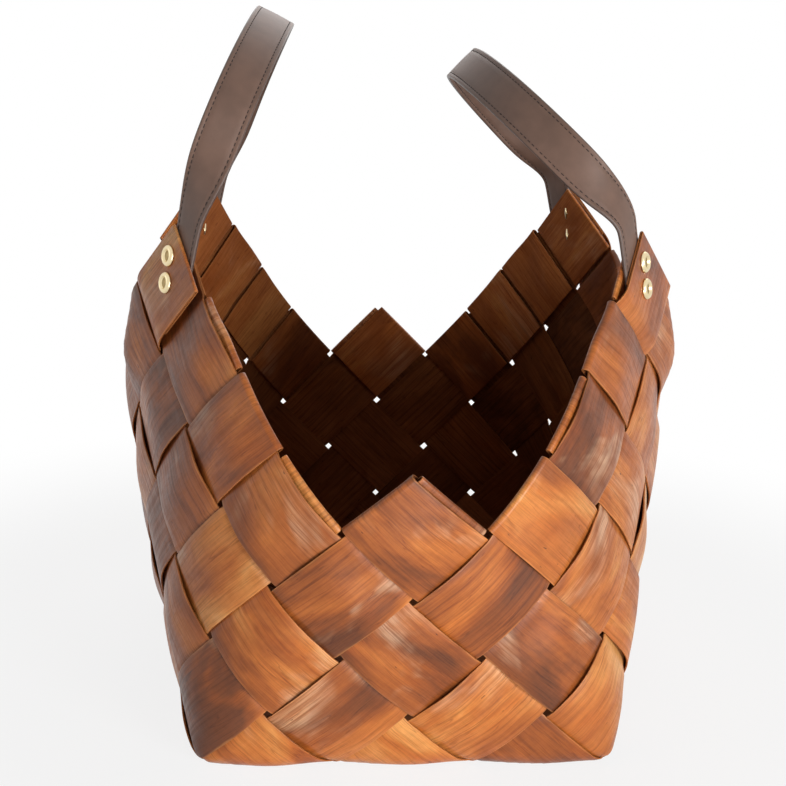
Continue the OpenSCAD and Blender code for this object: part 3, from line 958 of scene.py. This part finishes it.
def add_strips():
    finishes = (veneer, shaded_veneer_back, shaded_veneer_flap, shaded_veneer_back, veneer_edge)
    for mirror, lean_name in ((False, "left_leaning_strip_"), (True, "right_leaning_strip_")):
        for k in range(1, STRIP_COUNT + 1):
            c = k - (STRIP_COUNT + 1) / 2
            base_cells = int(2 * min(HALF_RUN - abs(c), END_COUNT))
            node = lean_name + str(k)
            seed = k + (RIGHT_LEANING_SEED if mirror else 0)
            stain = STAIN_BY_LEAN * (1 if mirror else -1)
            stain += STAIN_BY_STRIP * math.sin(seed * STAIN_STEP - STAIN_START)
            name = node + "_veneer"
            mesh = strip_mesh(name, strip_legs(c, mirror), base_cells, seed, stain)
            strip = add_piece(name, mesh, finishes)
            add_thickness(strip)
            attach(strip, "basket")
            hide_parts(node)


add_strips()

# ---------------------------------------------------------------- peaks
# A peak's own frame, in the near right quarter: its tip, the ways up the peak and out of the
# basket, and the way from the middle of its handle.

PEAK_SIGNS = {
    "near_left": (-1, 1),
    "near_right": (1, 1),
    "far_left": (-1, -1),
    "far_right": (1, -1),
}
peak_tip = quarter(np.array([PEAK_PLACE]), np.array([float(TOP_ROW)]))[0]
peak_away = unit(np.array([peak_out[1], -peak_out[0], 0.0]))
peak_up = np.cross(peak_away, peak_out)

# ---------------------------------------------------------------- handle straps

STRAP_TILT = math.radians(20)
TAB_TILT = math.radians(10)
ARCH_SPLAY = math.radians(10)
ARCH_RISE = 0.117
LOWER_RIVET_DROP = 0.036
UPPER_RIVET_DROP = 0.020
TAB_HELD = 0.045
HINGE_RISE = 0.010659
TAB_FREE = 0.002
JOIN_ANGLE = math.radians(14)
JOIN_STEPS = 14
TWIST_LENGTH = 0.070
TWIST_START = -0.008
ARCH_STEPS = 64
ARCH_PROBE = 1e-4
TAB_STEPS = 16
# Each handle's lean at its foot, and how much more it leans at its crown.
HANDLE_LEANS = {"left": (math.radians(18), math.radians(8)), "right": (math.radians(46), 0.0)}
SIDE_SIGN = {"left": -1, "right": 1}

LEATHER_T = 0.0025
STITCH_INSET = 0.0030
GROOVE_HALF = 0.0007
GROOVE_DEPTH = 0.00035
STRAP_CROWN = 0.00025
CROWN_STOPS = (0.0, 0.35, 0.65)
EDGE_ROUND = 0.0011
EDGE_POINTS = 5
PAINTED_SHARE = 0.8
PAINTED_FROM = STRAP_W / 2 - EDGE_ROUND * PAINTED_SHARE
PAINTED_SLOT = 1
STRAP_MERGE = 1e-7

STITCH_PITCH = 0.0036
STITCH_LEN = 0.0026
STITCH_W = 0.0008
STITCH_H = 0.0007
STITCH_TOP_LEN = 0.7
STITCH_TOP_W = 0.6

strap_axis = math.cos(TAB_TILT) * peak_up + math.sin(TAB_TILT) * peak_away
strap_inner_way = math.sin(TAB_TILT) * peak_up - math.cos(TAB_TILT) * peak_away


def over_peak(rise):
    """Point on the middle of the strap's solid, rise metres above the tip of its peak."""
    aside = (LOWER_RIVET_DROP + rise) * math.tan(STRAP_TILT)
    return peak_tip + rise * peak_up + aside * peak_away + STRAP_MID * peak_out


tab_top = over_peak(TAB_FREE)
hinge_foot = over_peak(HINGE_RISE)


def arch_point(t, lean, bend):
    """Middle of an arch in the right half, t from 0 at the near foot to pi at the far one."""
    sheet = arc_walk(ARCH_RISE * np.sin(t), lean + 0 * t, lean + bend * np.sin(t))
    splay = ARCH_RISE * math.tan(ARCH_SPLAY) / 2
    y = hinge_foot[1] * np.cos(t) - splay * np.sin(2 * t)
    return np.stack([hinge_foot[0] - sheet[..., 1], y, hinge_foot[2] + sheet[..., 0]], axis=-1)


def half_strap(lean, bend):
    """Near half of a strap in the right half: its middle line, way ahead and way across."""
    tab = tab_top + np.linspace(-TAB_HELD - TAB_FREE, 0, TAB_STEPS)[:, None] * strap_axis
    t = np.linspace(JOIN_ANGLE, math.pi / 2, ARCH_STEPS)
    arch = arch_point(t, lean, bend)
    start_probe = arch_point(t[:1] + ARCH_PROBE, lean, bend)
    arch_start = unit(start_probe - arch_point(t[:1] - ARCH_PROBE, lean, bend))[0]
    gap = np.linalg.norm(arch[0] - tab[-1])
    u = np.linspace(0, 1, JOIN_STEPS)[1:-1, None]
    join = (
        (2 * u**3 - 3 * u**2 + 1) * tab[-1]
        + (u**3 - 2 * u**2 + u) * gap * strap_axis
        + (3 * u**2 - 2 * u**3) * arch[0]
        + (u**3 - u**2) * gap * arch_start
    )
    line = np.concatenate([tab, join, arch])
    lean_here = np.full(len(line), lean)
    lean_here[-len(arch):] = lean + bend * np.sin(t)
    ahead = unit(np.gradient(line, axis=0))
    walked = walk_along(line)
    turned = smooth((walked - walked[TAB_STEPS - 1] - TWIST_START) / TWIST_LENGTH)[:, None]
    flat = np.stack([np.cos(lean_here), 0 * lean_here, np.sin(lean_here)], axis=-1)
    across = strap_inner_way * (1 - turned) + flat * turned
    across = unit(across - ahead * (across * ahead).sum(axis=-1)[:, None])
    return line, ahead, across


def strap_path(side):
    """Whole strap of a handle: its middle line, and its ways ahead, across and out of its face."""
    line, ahead, across = half_strap(*HANDLE_LEANS[side])
    flip = np.array([1.0, -1.0, 1.0])
    line = np.concatenate([line, line[-2::-1] * flip])
    ahead = np.concatenate([ahead, -ahead[-2::-1] * flip])
    across = np.concatenate([across, across[-2::-1] * flip])
    mirror = np.array([SIDE_SIGN[side], 1.0, 1.0])
    return line * mirror, ahead * mirror, across * mirror, np.cross(ahead, across) * mirror


def strap_section():
    """Outline of a strap across: (across, out of the face)."""
    half_w, half_t = STRAP_W / 2, LEATHER_T / 2
    groove = half_w - STITCH_INSET
    upper = [(share * groove, half_t + STRAP_CROWN * (1 - share**2)) for share in CROWN_STOPS]
    upper += [
        (groove - GROOVE_HALF, half_t),
        (groove, half_t - GROOVE_DEPTH),
        (groove + GROOVE_HALF, half_t),
    ]
    for k in range(EDGE_POINTS):
        turn = math.pi / 2 * k / (EDGE_POINTS - 1)
        x = half_w - EDGE_ROUND + EDGE_ROUND * math.sin(turn)
        upper.append((x, half_t - EDGE_ROUND + EDGE_ROUND * math.cos(turn)))
    right = upper + [(x, -z) for x, z in reversed(upper)]
    return np.array(right + [(-x, z) for x, z in reversed(right)][1:-1] + right[:1])


def strap_mesh(name, line, across, out):
    """A strap's leather, closed at both ends, with its cut edges painted."""
    section = strap_section()
    points = (
        line[:, None, :]
        + across[:, None, :] * section[None, :, 0, None]
        + out[:, None, :] * section[None, :, 1, None]
    )
    lengths, rounds = walk_along(line), walk_along(section)
    at_edge = np.abs(section[:, 0]) > PAINTED_FROM
    painted = at_edge[:-1] & at_edge[1:]
    bm, (uv,), places = new_grid(len(line), len(section), "length")
    for face in bm.faces:
        if painted[min(places[vert][1] for vert in face.verts)]:
            face.material_index = PAINTED_SLOT
        for loop in face.loops:
            i, j = places[loop.vert]
            loop[uv].uv = (lengths[i], rounds[j])
    for vert, place in places.items():
        vert.co = points[place]
    bmesh.ops.remove_doubles(bm, verts=bm.verts, dist=STRAP_MERGE)
    bmesh.ops.holes_fill(bm, edges=[edge for edge in bm.edges if edge.is_boundary], sides=0)
    bmesh.ops.recalc_face_normals(bm, faces=bm.faces)
    return finished_mesh(bm, name)


def stitching_mesh(name, line, ahead, across, face):
    """Rows of thread in the grooves along both edges, on both faces of a strap."""
    walked = walk_along(line)
    groove = STRAP_W / 2 - STITCH_INSET
    depth = LEATHER_T / 2 - GROOVE_DEPTH
    count = int((walked[-1] - 2 * STITCH_INSET) / STITCH_PITCH)
    at = STITCH_INSET + (np.arange(count) + 0.5) * STITCH_PITCH

    def at_stitches(values):
        return np.stack([np.interp(at, walked, values[:, axis]) for axis in range(3)], axis=-1)

    ways = [unit(at_stitches(values)) for values in (ahead, across, face)]
    bm = bmesh.new()
    for middle, along, wide, out in zip(at_stitches(line), *ways):
        for side, way in ((-1, -1), (-1, 1), (1, -1), (1, 1)):
            place = middle + wide * groove * side + out * depth * way
            for vert in bmesh.ops.create_cube(bm, size=1)["verts"]:
                top = vert.co.z > 0
                end = STITCH_LEN * vert.co.x * (STITCH_TOP_LEN if top else 1.0)
                broad = STITCH_W * vert.co.y * (STITCH_TOP_W if top else 1.0)
                vert.co = place + along * end + wide * broad + out * way * STITCH_H * vert.co.z
    bmesh.ops.recalc_face_normals(bm, faces=bm.faces)
    return finished_mesh(bm, name)


def add_straps():
    for side in ("left", "right"):
        line, ahead, across, face = strap_path(side)
        name = side + "_strap"
        strap = add_piece(name, strap_mesh(name, line, across, face), (leather, leather_edge))
        thread_name = side + "_strap_stitching"
        stitching = stitching_mesh(thread_name, line, ahead, across, face)
        thread = add_piece(thread_name, stitching, (stitch_thread,))
        for piece in (strap, thread):
            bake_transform(piece)
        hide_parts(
            "near_" + side + "_strap_end",
            "far_" + side + "_strap_end",
            side + "_handle_strap",
        )


add_straps()

# ---------------------------------------------------------------- rivets

SEAT_AIR = 0.0001
CAP_SEAT = COVER_MID + STRIP_T / 2 + SEAT_AIR
PRONG_SEAT = STRIP_T / 2 + 3 * LAYER + SEAT_AIR
SHANK_R = 0.0012
PRONG_LEN = 0.0042
PRONG_W = 0.0016
PRONG_T = 0.0006
PRONG_TAPER = 0.6
CAP_PROFILE = (
    (0.0, 0.0014),
    (0.0010, 0.0013),
    (0.0020, 0.0009),
    (0.0028, 0.0006),
    (0.0032, 0.0008),
    (0.0035, 0.0014),
    (0.0039, 0.0020),
    (0.0045, 0.0022),
    (0.0051, 0.0021),
    (0.0057, 0.0017),
    (0.0062, 0.0011),
    (0.0064, 0.0006),
    (0.0065, 0.0),
    (SHANK_R, 0.0),
    (SHANK_R, -CAP_SEAT - PRONG_SEAT),
    (0.0, -CAP_SEAT - PRONG_SEAT),
)
CAP_SEGMENTS = 40
DISH_R = 0.0034
DISH_ABOVE = 0.0001
TARNISH_SLOT = 1
RIVET_MERGE = 1e-6


def add_cap(bm):
    """A cap with its dished middle and its shank, turned round the z axis."""
    profile = [bm.verts.new((r, 0, z)) for r, z in CAP_PROFILE]
    edges = [bm.edges.new(pair) for pair in zip(profile[:-1], profile[1:])]
    bmesh.ops.spin(
        bm,
        geom=profile + edges,
        axis=(0, 0, 1),
        cent=(0, 0, 0),
        angle=2 * math.pi,
        steps=CAP_SEGMENTS,
        use_merge=True,
    )


def add_prongs(bm):
    """Two prongs at the shank's end, bent over to both sides and thinner at their ends."""
    for way in (-1, 1):
        for vert in bmesh.ops.create_cube(bm, size=1)["verts"]:
            outer = vert.co.y * way > 0
            x = vert.co.x * PRONG_W * (PRONG_TAPER if outer else 1.0)
            y = vert.co.y * PRONG_LEN + way * PRONG_LEN / 2
            z = vert.co.z * PRONG_T - CAP_SEAT - PRONG_SEAT - PRONG_T / 2
            vert.co = Vector((x, y, z + (PRONG_T / 2 if outer else 0)))


def rivet_mesh(name, signs):
    """Two rivets of a peak, with a tarnished dish in each cap."""
    bm = bmesh.new()
    seats = [
        peak_tip - drop * peak_up + CAP_SEAT * peak_out
        for drop in (UPPER_RIVET_DROP, LOWER_RIVET_DROP)
    ]
    turn = np.stack([-peak_away, peak_up, peak_out])
    for seat in seats:
        add_cap(bm)
        add_prongs(bm)
        for vert in bm.verts:
            if not vert.tag:
                vert.co = seat + np.array(vert.co) @ turn
                vert.co.x *= signs[0]
                vert.co.y *= signs[1]
                vert.tag = True
    bmesh.ops.remove_doubles(bm, verts=bm.verts, dist=RIVET_MERGE)
    bmesh.ops.recalc_face_normals(bm, faces=bm.faces)
    quarter_signs = np.array([*signs, 1])
    for seat in seats:
        for face in bm.faces:
            off = np.array(face.calc_center_median()) - seat * quarter_signs
            above = off @ (peak_out * quarter_signs) > DISH_ABOVE
            if above and np.linalg.norm(off) < DISH_R:
                face.material_index = TARNISH_SLOT
    return finished_mesh(bm, name)


def add_rivets():
    for peak, signs in PEAK_SIGNS.items():
        name = peak + "_brass_rivets"
        rivets = add_piece(name, rivet_mesh(name, signs), (brass, tarnish))
        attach(rivets, "basket")
        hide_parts(peak + "_rivets")


add_rivets()

# ---------------------------------------------------------------- floor, backdrop and light

FLOOR_SIZE = 6
FLOOR_TONE = 0.84
FLOOR_ROUGH = 0.9
FLOOR_NEAR = 0.28
FLOOR_FAR = 0.60
NEAR_WHITE = 0.84
SOFT_LIGHT = 0.10
WHITE = (1, 1, 1, 1)

# Each lamp's name, place, aim, size in metres and power in watts.
LAMPS = (
    ("key", (1.25, -1.95, 0.48), (0, 0, 0.18), 0.8, 33),
    ("table bounce", (0.02, -0.62, 0.02), (0, -0.2, 0.14), 0.3, 1.45),
    ("side", (-2.2, -0.3, 0.9), (0, 0, 0.15), 1.2, 3.4),
    ("back", (0.4, 1.9, 1.5), (0, 0, 0.25), 1.8, 20),
)


def seen_ray(tree):
    """1 for rays from the camera, and for those that metal or glass reflects or bends."""
    rays = add_node(tree, "LightPath").outputs
    seen = math_node(tree, "MAXIMUM", rays["Is Camera Ray"], rays["Is Glossy Ray"])
    return math_node(tree, "MAXIMUM", seen, rays["Is Transmission Ray"])


def mix_shader(tree, share, first, second):
    return add_node(tree, "MixShader", {"Fac": share, 1: first, 2: second}).outputs["Shader"]


def add_stage():
    """A white floor that fades to pure white away from the basket, and keeps its shadow."""
    material, tree, shader, output = new_material("studio white")
    feed(tree, shader.inputs["Base Color"], (*grey(FLOOR_TONE), 1))
    feed(tree, shader.inputs["Roughness"], FLOOR_ROUGH)
    glow = add_node(tree, "Emission", {"Color": WHITE, "Strength": 1.0}).outputs["Emission"]
    place = add_node(tree, "TexCoord").outputs["Object"]
    away = add_node(tree, "VectorMath", {0: place}, operation="LENGTH").outputs["Value"]
    fade = range_node(tree, away, FLOOR_NEAR, FLOOR_FAR, NEAR_WHITE, 1.0)
    share = math_node(tree, "MULTIPLY", fade, seen_ray(tree))
    feed(tree, output.inputs["Surface"], mix_shader(tree, share, shader.outputs["BSDF"], glow))
    bm = bmesh.new()
    bmesh.ops.create_grid(bm, x_segments=1, y_segments=1, size=FLOOR_SIZE)
    mesh = finished_mesh(bm, "floor")
    mesh.materials.append(material)
    add_object("floor", mesh)


def add_world():
    """Soft light from all round, and a pure white backdrop."""
    world = bpy.data.worlds.new("studio")
    bpy.context.scene.world = world
    world.use_nodes = True
    tree = world.node_tree
    tree.nodes.clear()
    soft, seen = [
        add_node(tree, "Background", {"Color": WHITE, "Strength": strength}).outputs["Background"]
        for strength in (SOFT_LIGHT, 1.0)
    ]
    add_node(tree, "OutputWorld", {"Surface": mix_shader(tree, seen_ray(tree), soft, seen)})


def add_lamps():
    for name, place, aim, size, power in LAMPS:
        data = bpy.data.lights.new(name, "AREA")
        data.shape = "SQUARE"
        data.size = size
        data.energy = power
        turn = (Vector(aim) - Vector(place)).normalized().to_track_quat("-Z", "Y")
        lamp = add_object(name, data)
        lamp.matrix_world = Matrix.Translation(place) @ turn.to_matrix().to_4x4()


add_stage()
add_world()
add_lamps()

bpy.context.scene.view_settings.view_transform = "Standard"
